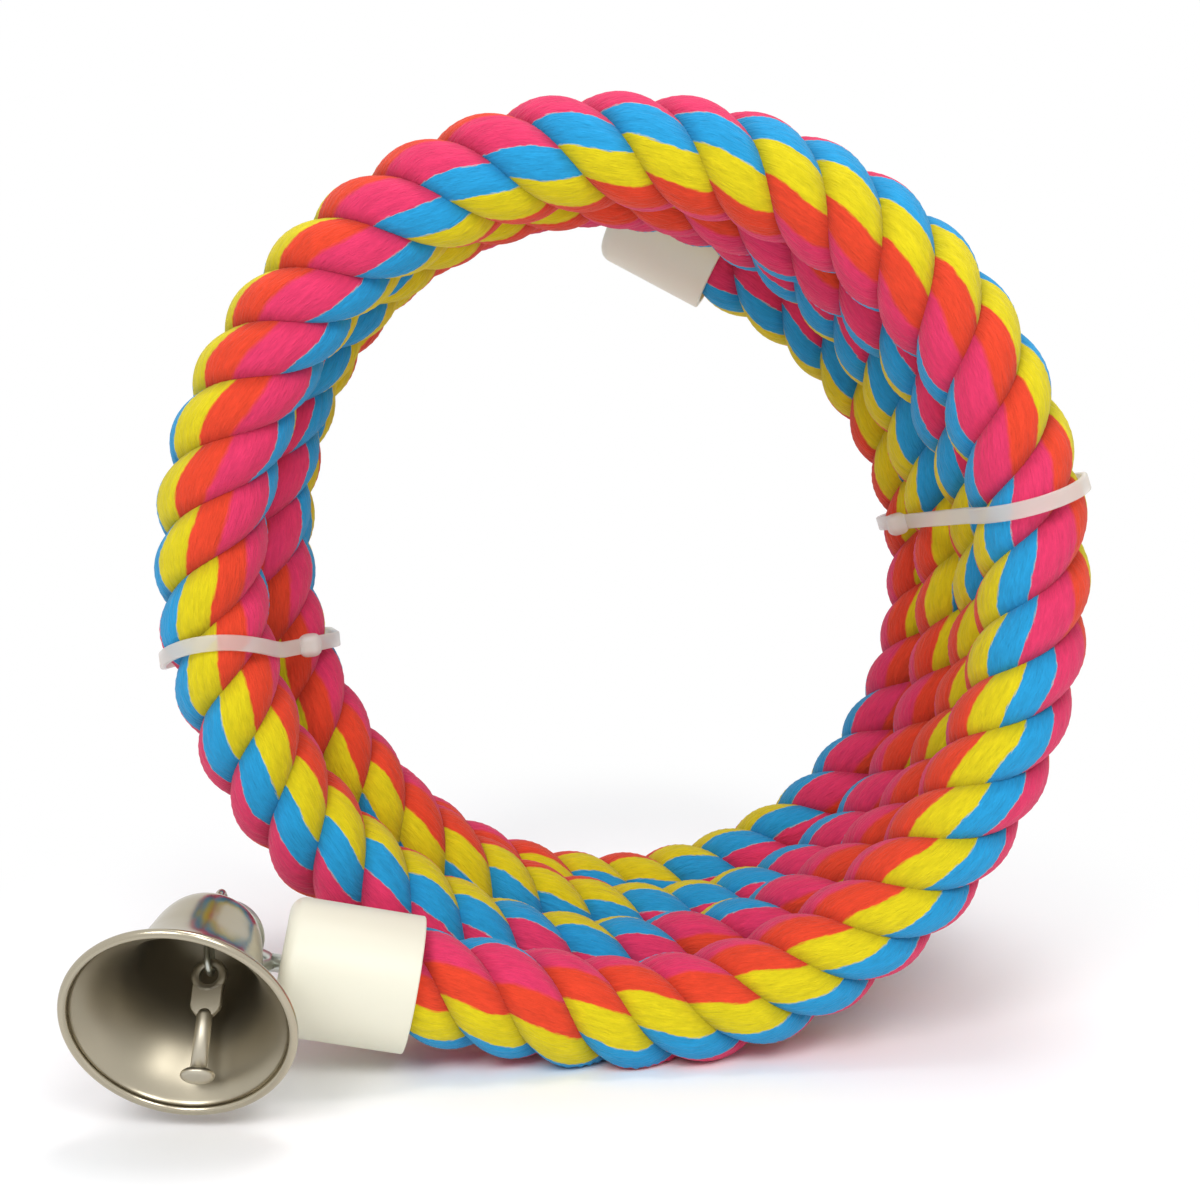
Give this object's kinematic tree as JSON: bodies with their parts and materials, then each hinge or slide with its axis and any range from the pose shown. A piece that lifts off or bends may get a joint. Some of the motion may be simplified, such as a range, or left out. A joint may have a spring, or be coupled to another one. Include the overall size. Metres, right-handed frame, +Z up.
{
  "type": "bird bungee perch",
  "caption": "Springy coil of multicoloured twisted rope over a steel core, with capped ends, a hanging bell at one end and a quick link at the other.",
  "frame": {"origin": "on the surface that the coil stands on, at the middle of the flat under its second turn", "axes": "+Z up, +Y along the coil's axis from the bell's end to the quick link's end, +X to the right seen from the bell's side"},
  "size_m": [0.2166, 0.1639, 0.2112],
  "materials": {
    "rope": "matt three-strand cotton in pink, orange, yellow and blue bands",
    "core": "plain spring steel",
    "cap": "satin off-white PVC",
    "tie": "milky nylon",
    "zinc": "zinc plated",
    "nickel": "polished nickel plate"
  },
  "bodies": {
    "coil": {"rope": "rope", "core_spring_wire": "core", "cable_tie_right": "tie", "cable_tie_left": "tie", "lower_end_cap": "cap", "lower_eye_bolt": "zinc", "lower_washer": "zinc", "lower_nut": "zinc", "upper_end_cap": "cap", "upper_eye_bolt": "zinc", "upper_washer": "zinc", "upper_nut": "zinc"},
    "ring": {"bell_ring": "zinc"},
    "bell": {"bell_shell": "nickel", "bell_hanger": "nickel"},
    "hook": {"clapper_hook": "zinc"},
    "clapper": {"clapper": "zinc"},
    "quick_link": {"quick_link_body": "zinc"},
    "sleeve": {"quick_link_sleeve": "zinc"}
  },
  "joints": [
    {"name": "ring_swing", "type": "hinge", "parent": "coil", "child": "ring", "pos_m": [-0.08418, -0.03445, 0.02662], "axis": [-0.083, 0.9966, 0], "range_deg": [-60, 12]},
    {"name": "bell_swing", "type": "hinge", "parent": "ring", "child": "bell", "pos_m": [-0.08614, -0.03461, 0.03808], "axis": [0.9975, -0.07, 0], "range_deg": [-75, 1]},
    {"name": "hook_swing", "type": "hinge", "parent": "bell", "child": "hook", "pos_m": [-0.08686, -0.04492, 0.03432], "axis": [0.9975, -0.07, 0], "range_deg": [-45, 1]},
    {"name": "clapper_swing", "type": "hinge", "parent": "hook", "child": "clapper", "pos_m": [-0.08589, -0.05001, 0.02876], "axis": [-0.052, -0.7412, 0.6692], "range_deg": [-20, 10]},
    {"name": "quick_link_swing", "type": "hinge", "parent": "coil", "child": "quick_link", "pos_m": [-0.0049, 0.07212, 0.19762], "axis": [0.142, 0.9899, 0], "range_deg": [-45, 60]},
    {"name": "sleeve_travel", "type": "slide", "parent": "quick_link", "child": "sleeve", "axis": [0.9795, -0.1399, 0.1449], "range_m": [0, 0.01]}
  ]
}
